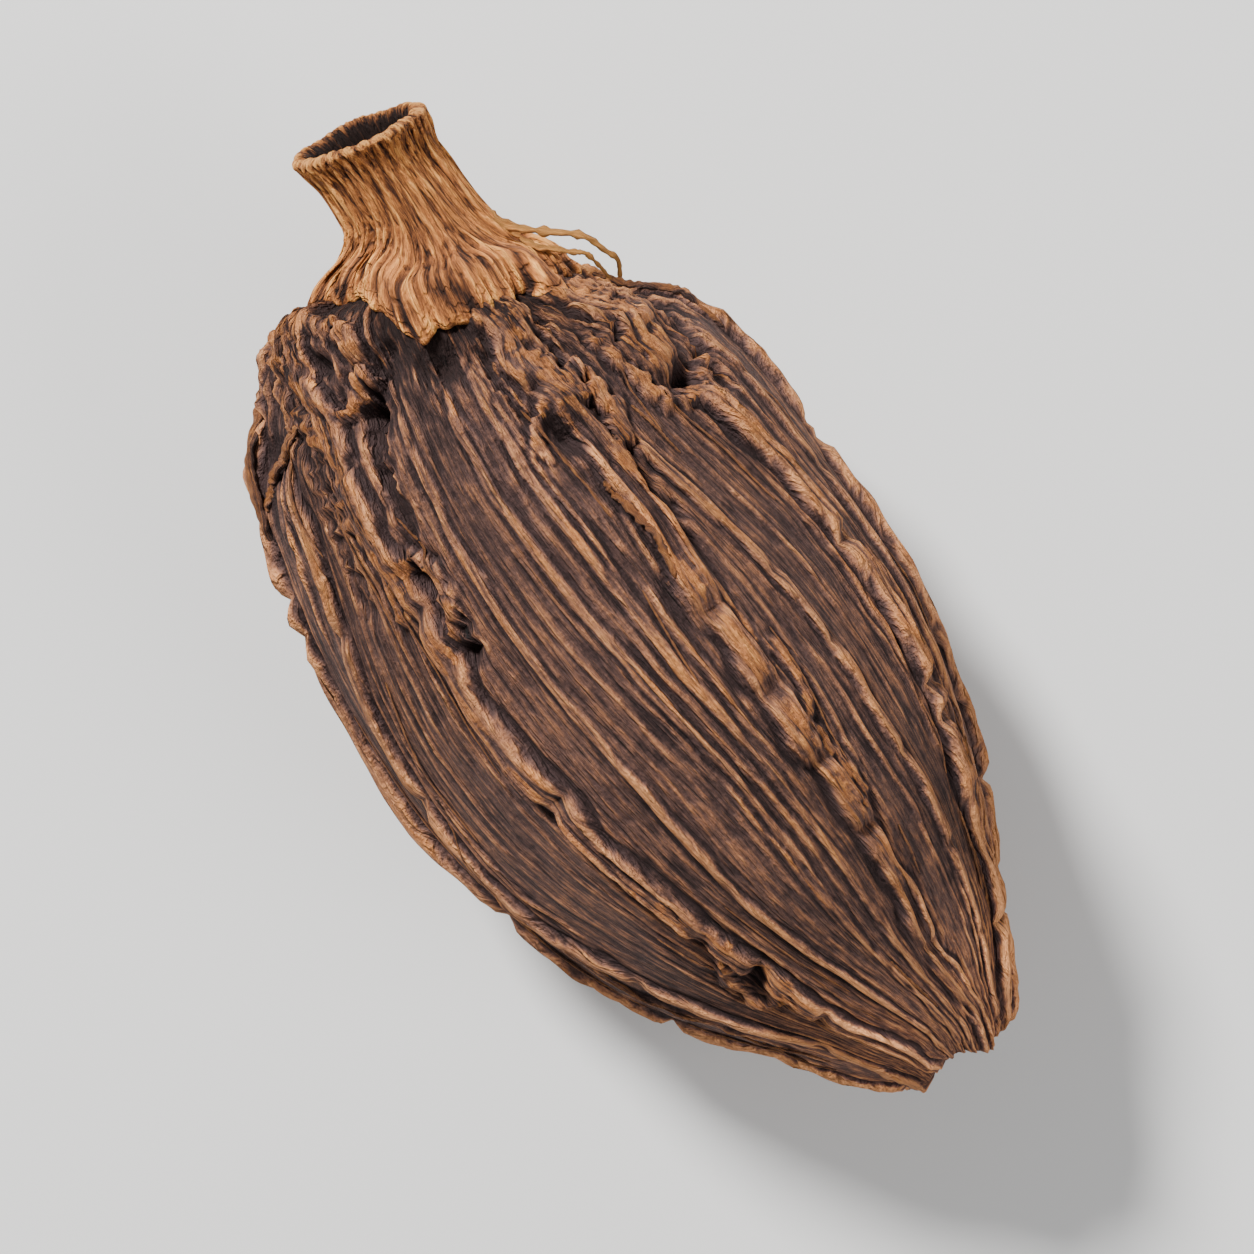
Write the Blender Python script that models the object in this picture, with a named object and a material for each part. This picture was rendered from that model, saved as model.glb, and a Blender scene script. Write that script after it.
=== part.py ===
"""A dried black cardamom pod lying on its side: the ribbed husk, and the hollow stub of stalk on its shoulder.

Metres, +Z up. X runs along the pod from the stalk to the tip. The origin is the middle of the small
flat spot that the husk rests on.
"""

import math

import bpy
import numpy as np

MM = 0.001
TURN = 2 * math.pi

# Driving dimensions
POD_LENGTH = 38.0 * MM
HUSK_WIDTH = 19.4 * MM
HUSK_HEIGHT = 16.4 * MM
REST_FROM_MOUTH = 20.4 * MM
PRESSED_DEPTH = 0.55 * MM
RIB_HEIGHT = 0.75 * MM
RIB_HALF_WIDTH = 0.38 * MM
STALK_RADIUS = 2.15 * MM
STALK_HOLE_RADIUS = 1.5 * MM
STALK_HOLE_DEPTH = 4.2 * MM
SKIRT_THICKNESS = 0.7 * MM
JOIN_GAP = 0.3 * MM

# The husk as a loft. Each section gives its place from the stalk's mouth (share of the pod's length), how
# far its low side leans back to the stalk, how far its middle is off the pod's line, its half width
# (shares of the husk's half width), its half height and its rise (shares of the husk's half height).
SECTIONS = (
    (0.152, 0.03, 0.02, 0.13, 0.16, 0.10),
    (0.155, 0.14, 0.08, 0.33, 0.36, 0.09),
    (0.176, 0.21, 0.12, 0.54, 0.54, 0.08),
    (0.222, 0.21, 0.135, 0.725, 0.70, 0.06),
    (0.290, 0.18, 0.16, 0.895, 0.85, 0.03),
    (0.386, 0.13, 0.19, 0.965, 0.96, 0.01),
    (0.521, 0.06, 0.20, 0.985, 1.00, 0.00),
    (0.647, 0.02, 0.18, 0.945, 0.96, 0.00),
    (0.753, 0.00, 0.16, 0.815, 0.84, -0.01),
    (0.842, 0.00, 0.13, 0.635, 0.66, -0.02),
    (0.915, 0.00, 0.09, 0.455, 0.475, -0.04),
    (0.967, 0.00, 0.06, 0.325, 0.33, -0.05),
    (0.991, 0.00, 0.05, 0.235, 0.235, -0.05),
)

# Each main rib: its height, its breadth, and its line, which is its angle in degrees from the husk's top,
# towards -Y, at even places from the shoulder to the tip.
RIBS = (
    (0.70, 1.0, (-162, -162)),
    (0.55, 0.8, (-144, -144)),
    (0.90, 1.1, (-126, -126)),
    (0.60, 0.9, (-110, -110)),
    (0.80, 0.9, (-84, -88, -92, -93, -93, -92, -91, -85)),
    (0.35, 0.6, (-60, -62, -70, -76, -76, -76, -80, -70)),
    (1.00, 1.1, (-34, -38, -46, -58, -59, -58, -66, -54)),
    (0.40, 0.6, (-22, -24, -24, -32, -36, -43, -46, -42)),
    (1.00, 1.4, (-12, -13, -17, -15, -16, -19, -20, -25)),
    (0.28, 0.5, (-2, -2, -1, -3, -5, -8, -11, -14)),
    (0.30, 0.5, (8, 7, 7, 4, 2, 0, -4, -7)),
    (0.32, 0.5, (22, 20, 19, 19, 18, 16, 9, 3)),
    (1.00, 1.3, (50, 40, 36, 36, 33, 31, 28, 18)),
    (0.60, 0.8, (59, 59, 61, 74, 72, 62, 52, 42)),
    (0.85, 1.0, (78, 84, 86, 93, 93, 92, 88, 76)),
    (0.60, 0.9, (106, 106)),
    (0.90, 1.1, (122, 122)),
    (0.55, 0.8, (140, 140)),
    (0.70, 1.0, (158, 158)),
    (0.60, 0.9, (178, 178)),
)
SHOULDER = 0.24
HUSK_ROWS = 57

# How far the stalk's skirt reaches over the husk: at each angle in degrees, the share of the sections.
SKIRT_EDGE = (
    (-180, 0.085),
    (-150, 0.090),
    (-120, 0.100),
    (-90, 0.125),
    (-62, 0.155),
    (-48, 0.165),
    (-34, 0.195),
    (-12, 0.210),
    (8, 0.235),
    (19, 0.165),
    (30, 0.120),
    (60, 0.115),
    (90, 0.110),
    (130, 0.090),
)

# Lumps and hollows of the crumpled shoulder, seen from above: the place along the pod and across it in mm,
# the radius, and the height, below zero for a hollow.
CRUMPLES = (
    (-14.4, -3.4, 1.4, 0.45),
    (-11.2, 2.4, 1.2, 0.35),
    (-9.4, 5.4, 1.5, 0.45),
    (-8.6, -5.2, 1.2, 0.25),
    (-11.7, 0.1, 0.8, -0.70),
    (-12.9, -1.6, 0.9, -0.55),
    (-11.6, -3.0, 0.8, -0.60),
    (-12.6, -6.6, 0.9, -0.50),
    (-6.9, 6.3, 0.8, -0.50),
)
STALK_COLUMNS = 44


def through(values, t):
    """A smooth line through evenly spaced values (Catmull-Rom), read at the shares t of its length."""
    values = np.asarray(values, float)
    place = np.clip(t, 0, 1) * (len(values) - 1)
    first = np.clip(np.floor(place).astype(int), 0, len(values) - 2)
    f = (place - first).reshape(place.shape + (1,) * (values.ndim - 1))
    a, b, c, d = (values[np.clip(first + k, 0, len(values) - 1)] for k in (-1, 0, 1, 2))
    return b + f * (c - a) / 2 + f**2 * (2 * a - 5 * b + 4 * c - d) / 2 + f**3 * (3 * b - a - 3 * c + d) / 2


def ramp(x, low, high):
    """0 below low, 1 above high, and a smooth step between."""
    s = np.clip((x - low) / (high - low), 0, 1)
    return s * s * (3 - 2 * s)


def sway(t, seed, waves, count=5):
    """A wandering line: count sines of about that many waves over the length, seeded, from about -1 to 1."""
    draw = np.random.default_rng(seed)
    turns = waves * draw.uniform(0.6, 1.5, count)
    starts = draw.uniform(0, TURN, count)
    return sum(np.sin(TURN * n * t + s) for n, s in zip(turns, starts)) / math.sqrt(count)


def twisted(t, angle):
    """Ribs wander together: the angle moves by a few degrees along the husk, smoothly from rib to rib."""
    slow = 0.035 * np.sin(angle + TURN * 0.9 * t + 1.0)
    quick = 0.016 * np.sin(3 * angle - TURN * 2.1 * t) + 0.008 * np.sin(7 * angle + TURN * 4.3 * t)
    return angle + slow + quick


def core(t, angle):
    """The husk without its ribs: an ellipse, a little three-sided, through the sections."""
    place, lean, off, width, height, rise = np.moveaxis(through(SECTIONS, t), -1, 0)
    half_width = HUSK_WIDTH / 2 - RIB_HEIGHT / 2
    half_height = HUSK_HEIGHT / 2 - RIB_HEIGHT / 2
    side, top = np.sin(angle), np.cos(angle)
    three_sided = 1 + 0.025 * np.cos(3 * angle + 0.5)
    middle_off = 0.20
    x = POD_LENGTH * place - REST_FROM_MOUTH - HUSK_WIDTH / 2 * lean * side
    y = HUSK_WIDTH / 2 * (middle_off - off) - half_width * width * three_sided * side
    z = half_height * (1 + rise) + half_height * height * three_sided * top
    return np.stack([x, y, z], -1)


def outward(t, angle):
    """The core's outward normal and its direction round the husk, from small differences."""
    step = 1e-4
    along = core(np.minimum(t + step, 1), angle) - core(np.maximum(t - step, 0), angle)
    around = core(t, angle + step) - core(t, angle - step)
    normal = np.cross(around, along)
    return (v / np.linalg.norm(v, axis=-1, keepdims=True) for v in (normal, around))


def girth(t):
    """The core's mean radius at t, as a share of its largest."""
    _, _, _, width, height, _ = np.moveaxis(through(SECTIONS, t), -1, 0)
    return (width + height) / 2


def rib_angle(line, t):
    """The angle of a rib's line at t."""
    return np.radians(through(line, (t - 0.2) / 0.7))


def rib_reach(t, breadth):
    """Half of a rib's width, as an angle. Ribs get thinner where the husk does, but not as fast."""
    half = RIB_HALF_WIDTH * breadth * girth(t) ** 0.8
    return half / (girth(t) * (HUSK_WIDTH + HUSK_HEIGHT) / 4)


def skirt_edge(angle):
    """Where the stalk's skirt ends, as a share of the sections, with small scallops."""
    degrees, shares = np.transpose(SKIRT_EDGE)
    return np.interp(angle, np.radians(degrees), shares, period=TURN) + 0.008 * np.cos(11 * angle)


def crumples(t, angle):
    """The lumps and hollows: each one is a height times exp(-(distance / radius)^2), on the upper side."""
    points = core(t, angle)
    upper = ramp(np.cos(angle), 0.0, 0.3)
    return sum(
        h * MM * upper * np.exp(-((points[..., 0] - x * MM) ** 2 + (points[..., 1] - y * MM) ** 2) / (r * MM) ** 2)
        for x, y, r, h in CRUMPLES
    )


def relief(t, angle):
    """(height, sideways shift) of the ribs at t and at the angle before it is twisted.

    A rib's section is exp(-|q|^5), with q its distance in half widths, and the skin swells gently up to it.
    Its crest sways sideways and its height rises and falls along it, most of all on the shoulder, where the
    husk has crumpled. The ribs come out from under the stalk's skirt.
    """
    height = np.zeros(np.broadcast(t, angle).shape)
    shift = np.zeros_like(height)
    crumpled = 1 - ramp(t, SHOULDER, SHOULDER + 0.2)
    bared = ramp(t, skirt_edge(angle) - 0.005, skirt_edge(angle) + 0.055)
    grown = bared * (0.45 + 0.55 * girth(t)) * (1 - 0.4 * ramp(t, 0.93, 1))
    pressed = 1 - 0.75 * np.exp(-(((t - 0.5) / 0.17) ** 2)) * ramp(np.cos(angle), -0.75, -0.93)
    for k, (tall, broad, line) in enumerate(RIBS):
        away = (angle - rib_angle(line, t) + math.pi) % TURN - math.pi
        q = away / rib_reach(t, broad)
        section = np.exp(-np.abs(q) ** 5)
        uneven = 1 + (0.14 + 0.16 * crumpled) * sway(t, 100 + k, 7)
        height += RIB_HEIGHT * tall * grown * pressed * (0.78 * uneven * section + 0.25 * np.exp(-((q / 3) ** 2)))
        shift += RIB_HEIGHT * tall * grown * (0.04 + 0.2 * crumpled) * sway(t, 200 + k, 9) * section
    folds = sway(t + 0.05 * np.sin(3 * angle), 31, 6) * np.sin(5 * angle + 9 * t)
    height += RIB_HEIGHT * (0.08 + 0.2 * crumpled) * bared * folds
    return height + bared * crumples(t, angle), shift


def husk_points(t, angle):
    """The husk's surface: the core, raised along its normal and pushed sideways by the ribs."""
    height, shift = relief(t, angle)
    turned = twisted(t, angle)
    normal, around = outward(t, turned)
    points = core(t, turned) + height[..., None] * normal + shift[..., None] * around
    ragged = 0.35 * MM * ramp(t, 0.93, 1) * sway(angle / TURN, 41, 4)
    points[..., 0] += ragged
    return points


def column_angles(t):
    """The husk's columns at each row: foot, crest, crest and foot of each rib, and a ridge in each valley."""
    angles = []
    for k, (_, broad, line) in enumerate(RIBS):
        at, reach = rib_angle(line, t), rib_reach(t, broad)
        _, next_broad, next_line = RIBS[(k + 1) % len(RIBS)]
        gap = (rib_angle(next_line, t) - at) % TURN
        angles += [at + q * reach for q in (-1.3, -0.6, 0.6, 1.3)]
        angles.append(at + (gap + 1.3 * reach - 1.3 * rib_reach(t, next_broad)) / 2)
    return np.stack(angles, -1)


def tube_mesh(name, rows, start, end):
    """A closed mesh: rows of points round a tube, from the pole start to the pole end."""
    count, around, _ = rows.shape
    points = np.concatenate([rows.reshape(-1, 3), [start, end]])
    pole, far_pole, last = count * around, count * around + 1, (count - 1) * around
    j = np.arange(around)
    following = (j + 1) % around
    faces = [(pole, b, a) for a, b in zip(j, following)]
    for i in range(count - 1):
        low, high = i * around, (i + 1) * around
        faces += [(low + a, low + b, high + b, high + a) for a, b in zip(j, following)]
    faces += [(last + a, last + b, far_pole) for a, b in zip(j, following)]
    mesh = bpy.data.meshes.new(name)
    mesh.from_pydata(points.tolist(), [], [tuple(map(int, face)) for face in faces])
    mesh.validate()
    mesh.shade_smooth()
    return mesh


def finish(name, colour, roughness):
    """A matt material with the piece's colour."""
    material = bpy.data.materials.new(name)
    material.use_nodes = True
    shader = material.node_tree.nodes["Principled BSDF"]
    shader.inputs["Base Color"].default_value = (*colour, 1)
    shader.inputs["Roughness"].default_value = roughness
    return material


def place(name, mesh, material):
    mesh.materials.append(material)
    piece = bpy.data.objects.new(name, mesh)
    bpy.context.scene.collection.objects.link(piece)
    return piece


def rest_cutter():
    """A block below the resting plane, which cuts the husk's flat spot."""
    side = 2 * POD_LENGTH
    bpy.ops.mesh.primitive_cube_add(size=side, location=(0, 0, PRESSED_DEPTH - side / 2))
    cutter = bpy.context.object
    cutter.name = "rest_cutter"
    cutter.hide_render = True
    cutter.display_type = "WIRE"
    return cutter


def make_husk():
    """The husk: one tough dry skin, ribbed from the stalk to the tip, flat where it lies."""
    t = np.linspace(0, 1, HUSK_ROWS)[:, None]
    rows = husk_points(t, column_angles(t[:, 0]))
    start = rows[0].mean(0)
    end = rows[-1].mean(0) - (0.4 * MM, 0, 0)
    husk = place("husk", tube_mesh("husk", rows, start, end), finish("husk", (0.16, 0.085, 0.055), 0.7))
    cut = husk.modifiers.new("flat spot", "BOOLEAN")
    cut.operation = "DIFFERENCE"
    cut.object = rest_cutter()
    husk.location.z = -PRESSED_DEPTH
    cut.object.location.z -= PRESSED_DEPTH
    return husk


def stalk_ring(place_along, radius, rise, angle, turned=0.16):
    """A ring of the stalk: a fluted circle at that place from the mouth, square to the rising neck.

    Its top leans towards the husk, and turned is how far its +Y side does too, as a slope.
    """
    flutes = 1 + 0.022 * np.cos(12 * angle + 0.7) + 0.030 * np.cos(3 * angle) + 0.02 * np.cos(5 * angle)
    x = place_along - REST_FROM_MOUTH + radius * (0.23 * np.cos(angle) - turned * np.sin(angle))
    y = HUSK_WIDTH / 2 * 0.19 - radius * flutes * np.sin(angle)
    z = HUSK_HEIGHT / 2 * 1.1 + rise + radius * flutes * np.cos(angle)
    return np.stack([x, y, z], -1)


def make_stalk():
    """The stub of stalk: a hollow fluted tube, which flares into a ragged skirt over the husk's shoulder."""
    angle = np.linspace(0, TURN, STALK_COLUMNS, endpoint=False)
    edge = skirt_edge(angle)

    def over_husk(share, away):
        t = edge * share
        normal, _ = outward(t, angle)
        return core(t, angle) + away * normal

    outer = JOIN_GAP + SKIRT_THICKNESS
    inside = [over_husk(s, JOIN_GAP) for s in (0.05, 0.4, 0.75, 0.97)]
    rim = over_husk(1.03, (JOIN_GAP + outer) / 2)
    skirt = [over_husk(s, outer) for s in (0.97, 0.75)]
    foot = stalk_ring(2.6 * MM, STALK_RADIUS * 1.0, 0.45 * MM, angle, 0.06)
    corner = np.stack([0.75 * skirt[-1][:, 0] + 0.25 * foot[:, 0], foot[:, 1], foot[:, 2]], -1)

    def flare(s):
        """A ring of the concave flare from the skirt, s = 0, up to the foot of the neck, s = 1."""
        return (1 - s) ** 2 * skirt[-1] + 2 * s * (1 - s) * corner + s**2 * foot

    neck = [
        flare(0.33),
        flare(0.67),
        foot,
        stalk_ring(1.5 * MM, STALK_RADIUS * 0.98, 0.7 * MM, angle, 0.12),
        stalk_ring(0.7 * MM, STALK_RADIUS * 1.05, 0.9 * MM, angle),
        stalk_ring(0.35 * MM, STALK_RADIUS * 1.0, 1.0 * MM, angle),
        stalk_ring(0.6 * MM, STALK_HOLE_RADIUS * 1.03, 0.95 * MM, angle),
        stalk_ring(STALK_HOLE_DEPTH * 0.6, STALK_HOLE_RADIUS * 0.9, 0.5 * MM, angle),
        stalk_ring(STALK_HOLE_DEPTH, STALK_HOLE_RADIUS * 0.6, 0.2 * MM, angle),
    ]
    rows = np.stack([*inside, rim, *skirt, *neck])[:, ::-1]
    start, end = rows[0].mean(0), rows[-1].mean(0)
    stalk = place("stalk", tube_mesh("stalk", rows, start, end), finish("stalk", (0.30, 0.13, 0.055), 0.75))
    stalk.location.z = -PRESSED_DEPTH
    return stalk


for old in list(bpy.data.objects):
    bpy.data.objects.remove(old)
make_husk()
make_stalk()
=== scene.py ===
"""A dried black cardamom pod lying on its side, dressed over its plain solids.

The sections follow the pod as it grew: the husk, the strands that stand off it, and the stub of stalk on
its shoulder. The floor, the lights and the camera come last. Metres, +Z up, +X from the stalk to the tip.
"""

import math

import bpy
import numpy as np
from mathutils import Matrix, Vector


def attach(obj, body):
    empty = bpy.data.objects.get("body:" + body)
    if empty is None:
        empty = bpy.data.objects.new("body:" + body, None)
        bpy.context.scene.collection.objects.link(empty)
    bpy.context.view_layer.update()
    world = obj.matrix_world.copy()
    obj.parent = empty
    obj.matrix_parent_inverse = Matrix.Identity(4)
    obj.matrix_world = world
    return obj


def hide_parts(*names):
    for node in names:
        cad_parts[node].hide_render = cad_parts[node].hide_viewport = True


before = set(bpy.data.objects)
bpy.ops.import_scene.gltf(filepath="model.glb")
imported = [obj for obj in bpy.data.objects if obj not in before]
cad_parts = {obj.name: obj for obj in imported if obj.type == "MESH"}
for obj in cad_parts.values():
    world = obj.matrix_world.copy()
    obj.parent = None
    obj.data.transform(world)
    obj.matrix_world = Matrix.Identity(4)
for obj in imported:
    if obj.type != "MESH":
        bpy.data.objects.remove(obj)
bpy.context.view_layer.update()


# The husk is the tough dry skin of the fruit. It is one skin, grown from the shoulder to the tip, and as it
# dried it shrank over its ribs, so thick crinkled ribs and many fine ones stand up from dark valleys. The
# shoulder has crumpled most, and the tip has dried to a blunt ragged end.
MM = 0.001
TURN = 2 * math.pi
POD_LENGTH = 38.0 * MM
HUSK_WIDTH = 19.4 * MM
HUSK_HEIGHT = 16.4 * MM
REST_FROM_MOUTH = 20.4 * MM
PRESSED_DEPTH = 0.55 * MM
RIB_HEIGHT = 0.75 * MM
RIB_HALF_WIDTH = 0.34 * MM
FINE_RIBS = 96
FINE_HEIGHT = 0.15 * MM
FINE_HALF_WIDTH = 0.09 * MM

# Each section gives its place from the stalk's mouth (share of the pod's length), how far its low side leans
# back to the stalk, how far its middle is off the pod's line, its half width (shares of the husk's half
# width), its half height and its rise (shares of the husk's half height).
SECTIONS = (
    (0.152, 0.03, 0.02, 0.13, 0.16, 0.10),
    (0.155, 0.14, 0.08, 0.33, 0.36, 0.09),
    (0.176, 0.21, 0.12, 0.54, 0.54, 0.08),
    (0.222, 0.21, 0.135, 0.725, 0.70, 0.06),
    (0.290, 0.18, 0.16, 0.895, 0.85, 0.03),
    (0.386, 0.13, 0.19, 0.965, 0.96, 0.01),
    (0.521, 0.06, 0.20, 0.985, 1.00, 0.00),
    (0.647, 0.02, 0.18, 0.945, 0.96, 0.00),
    (0.753, 0.00, 0.16, 0.815, 0.84, -0.01),
    (0.842, 0.00, 0.13, 0.635, 0.66, -0.02),
    (0.915, 0.00, 0.09, 0.455, 0.475, -0.04),
    (0.967, 0.00, 0.06, 0.325, 0.33, -0.05),
    (0.991, 0.00, 0.05, 0.235, 0.235, -0.05),
)

# Each main rib: its height and its breadth, then two lines of values at even places from the shoulder to
# the tip: how far it is split in two, and its angle in degrees from the husk's top, towards -Y.
RIBS = (
    (0.70, 1.0, (0.3, 0.3), (-162, -162)),
    (0.55, 0.8, (0.0, 0.0), (-144, -144)),
    (0.90, 1.1, (0.5, 0.5), (-126, -126)),
    (0.60, 0.9, (0.0, 0.0), (-110, -110)),
    (0.80, 0.9, (0.2, 0.2), (-84, -88, -92, -93, -93, -92, -91, -85)),
    (0.35, 0.6, (0.0, 0.0), (-60, -62, -70, -76, -76, -76, -80, -70)),
    (1.00, 1.1, (0.6, 0.6), (-34, -38, -46, -58, -59, -58, -66, -54)),
    (0.40, 0.6, (0.0, 0.0), (-22, -24, -24, -32, -36, -43, -46, -42)),
    (1.00, 1.4, (0.3, 0.6, 1.0, 0.6, 0.2, 0.7, 0.8, 0.9), (-12, -13, -17, -15, -16, -19, -20, -25)),
    (0.28, 0.5, (0.0, 0.0), (-2, -2, -1, -3, -5, -8, -11, -14)),
    (0.30, 0.5, (0.0, 0.0), (8, 7, 7, 4, 2, 0, -4, -7)),
    (0.32, 0.5, (0.0, 0.0), (22, 20, 19, 19, 18, 16, 9, 3)),
    (1.00, 1.3, (0.6, 0.4, 0.1, 0.3, 0.8, 0.6, 0.4, 0.8), (50, 40, 36, 36, 33, 31, 28, 18)),
    (0.60, 0.8, (0.2, 0.2), (59, 59, 61, 74, 72, 62, 52, 42)),
    (0.85, 1.0, (0.5, 0.5), (78, 84, 86, 93, 93, 92, 88, 76)),
    (0.60, 0.9, (0.0, 0.0), (106, 106)),
    (0.90, 1.1, (0.5, 0.5), (122, 122)),
    (0.55, 0.8, (0.0, 0.0), (140, 140)),
    (0.70, 1.0, (0.4, 0.4), (158, 158)),
    (0.60, 0.9, (0.0, 0.0), (178, 178)),
)

# How far the stalk's skirt reaches over the husk: at each angle in degrees, the share of the sections.
SKIRT_EDGE = (
    (-180, 0.085),
    (-150, 0.090),
    (-120, 0.100),
    (-90, 0.125),
    (-62, 0.155),
    (-48, 0.165),
    (-34, 0.195),
    (-12, 0.210),
    (8, 0.235),
    (19, 0.165),
    (30, 0.120),
    (60, 0.130),
    (90, 0.125),
    (130, 0.090),
)

# Lumps and hollows of the crumpled shoulder, seen from above, all in mm: the place along the pod and across
# it, the radius, and the height, below zero for a hollow. The last six are small pits in or beside curls.
CRUMPLES = (
    (-14.4, -3.4, 1.4, 0.45),
    (-11.2, 2.4, 1.2, 0.35),
    (-9.4, 5.4, 1.5, 0.45),
    (-8.6, -5.2, 1.2, 0.25),
    (-11.7, 0.1, 0.7, -0.80),
    (-12.9, -1.6, 0.8, -0.60),
    (-11.6, -3.0, 0.7, -0.70),
    (-12.6, -6.6, 0.9, -0.50),
    (-14.0, -3.4, 0.45, -0.90),
    (-7.4, 2.3, 0.55, -0.75),
    (-6.9, 6.3, 0.55, -0.80),
    (-6.3, -4.7, 0.45, -0.55),
    (-3.6, -4.9, 0.35, -0.40),
    (10.6, -2.7, 0.40, -0.45),
)


def through(values, t):
    """A smooth line through evenly spaced values (Catmull-Rom), read at the shares t of its length."""
    values = np.asarray(values, float)
    place = np.clip(t, 0, 1) * (len(values) - 1)
    first = np.clip(np.floor(place).astype(int), 0, len(values) - 2)
    f = (place - first).reshape(place.shape + (1,) * (values.ndim - 1))
    a, b, c, d = (values[np.clip(first + k, 0, len(values) - 1)] for k in (-1, 0, 1, 2))
    return b + f * (c - a) / 2 + f**2 * (2 * a - 5 * b + 4 * c - d) / 2 + f**3 * (3 * b - a - 3 * c + d) / 2


def ramp(x, low, high):
    """0 below low, 1 above high, and a smooth step between."""
    s = np.clip((x - low) / (high - low), 0, 1)
    return s * s * (3 - 2 * s)


def sway(t, seed, waves, count=5):
    """A wandering line: count sines of about that many waves over the length, seeded, from about -1 to 1."""
    draw = np.random.default_rng(seed)
    turns = waves * draw.uniform(0.6, 1.5, count)
    starts = draw.uniform(0, TURN, count)
    return sum(np.sin(TURN * n * t + s) for n, s in zip(turns, starts)) / math.sqrt(count)


def patchy(t, angle, seed, along, around, count=9):
    """Uneven all over: seeded sines that run both ways, with whole waves round the husk so that it closes."""
    draw = np.random.default_rng(seed)
    total = np.zeros(np.broadcast(t, angle).shape)
    for _ in range(count):
        waves = int(round(around * draw.uniform(0.4, 1.4))) * draw.choice((-1, 1))
        total += np.sin(waves * angle + TURN * along * draw.uniform(0.5, 1.5) * t + draw.uniform(0, TURN))
    return total / math.sqrt(count)


def twisted(t, angle):
    """Ribs wander together: the angle moves by a few degrees along the husk, smoothly from rib to rib."""
    slow = 0.035 * np.sin(angle + TURN * 0.9 * t + 1.0)
    quick = 0.016 * np.sin(3 * angle - TURN * 2.1 * t) + 0.008 * np.sin(7 * angle + TURN * 4.3 * t)
    return angle + slow + quick


def core(t, angle):
    """The husk without its ribs: an ellipse, a little three-sided, through the sections."""
    place, lean, off, width, height, rise = np.moveaxis(through(SECTIONS, t), -1, 0)
    half_width = HUSK_WIDTH / 2 - RIB_HEIGHT / 2
    half_height = HUSK_HEIGHT / 2 - RIB_HEIGHT / 2
    side, top = np.sin(angle), np.cos(angle)
    three_sided = 1 + 0.025 * np.cos(3 * angle + 0.5)
    x = POD_LENGTH * place - REST_FROM_MOUTH - HUSK_WIDTH / 2 * lean * side
    y = HUSK_WIDTH / 2 * (0.20 - off) - half_width * width * three_sided * side
    z = half_height * (1 + rise) + half_height * height * three_sided * top - PRESSED_DEPTH
    return np.stack([x, y, z], -1)


def outward(t, angle):
    """The core's outward normal and its direction round the husk, from small differences."""
    step = 1e-4
    along = core(np.minimum(t + step, 1), angle) - core(np.maximum(t - step, 0), angle)
    around = core(t, angle + step) - core(t, angle - step)
    normal = np.cross(around, along)
    return (v / np.linalg.norm(v, axis=-1, keepdims=True) for v in (normal, around))


def girth(t):
    """The core's mean radius at t, as a share of its largest."""
    _, _, _, width, height, _ = np.moveaxis(through(SECTIONS, t), -1, 0)
    return (width + height) / 2


def as_angle(half, t):
    """Half of a rib's width as an angle. Ribs get thinner where the husk does, but not as fast."""
    return half * girth(t) ** 0.8 / (girth(t) * (HUSK_WIDTH + HUSK_HEIGHT) / 4)


def pressed(t, angle):
    """1 all over, but low where the ribs are pressed flat under the pod's weight."""
    return 1 - 0.75 * np.exp(-(((t - 0.5) / 0.17) ** 2)) * ramp(np.cos(angle), -0.75, -0.93)


def skirt_edge(angle):
    """Where the stalk's skirt ends, as a share of the sections, with small scallops."""
    degrees, shares = np.transpose(SKIRT_EDGE)
    return np.interp(angle, np.radians(degrees), shares, period=TURN) + 0.008 * np.cos(11 * angle)


def bared(t, angle):
    """0 under the skirt, and 1 where the ribs have come out from under it."""
    return ramp(t, skirt_edge(angle) - 0.03, skirt_edge(angle) + 0.035)


def along_rib(line, t):
    """A rib's line of values read at t: the first of them on the shoulder, the last near the tip."""
    return through(line, (t - 0.2) / 0.7)


def from_rib(line, t, angle):
    """How far round the husk a place is from a rib's line of angles."""
    return (angle - np.radians(along_rib(line, t)) + math.pi) % TURN - math.pi


def flow(t, at):
    """(angle, stretch) at t of a line of the skin, named by its angle half way along the husk.

    A line between two main ribs keeps its share of the way between them, so that the skin flows with its
    ribs. stretch is how wide the skin is there, against half way along.
    """
    lines = [np.radians(along_rib(line, t)) for *_, line in RIBS]
    middles = [math.radians(along_rib(line, 0.5)) for *_, line in RIBS]
    around = (at - middles[0]) % TURN + middles[0]
    angle, stretch = 0 * (t + at), 0 * (t + at)
    ends = zip(lines, lines[1:] + [lines[0] + TURN], middles, middles[1:] + [middles[0] + TURN])
    for low, high, first, second in ends:
        here = (around >= first) & (around < second)
        narrowed = (high - low) / (second - first)
        angle = np.where(here, low + narrowed * (around - first), angle)
        stretch = np.where(here, narrowed, stretch)
    return angle, stretch


# Cracks run across the main ribs: how deep one is, as a share of its rib, and half its width, as a share of
# the sections. The broad rib on top has its cracks at these places, and the others have theirs by chance.
CRACK_DEPTH = 0.90
CRACK_HALF_WIDTH = 0.006
BROAD_RIB = 8
BROAD_RIB_CRACKS = (0.33, 0.505, 0.560, 0.612, 0.672, 0.79)


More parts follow.
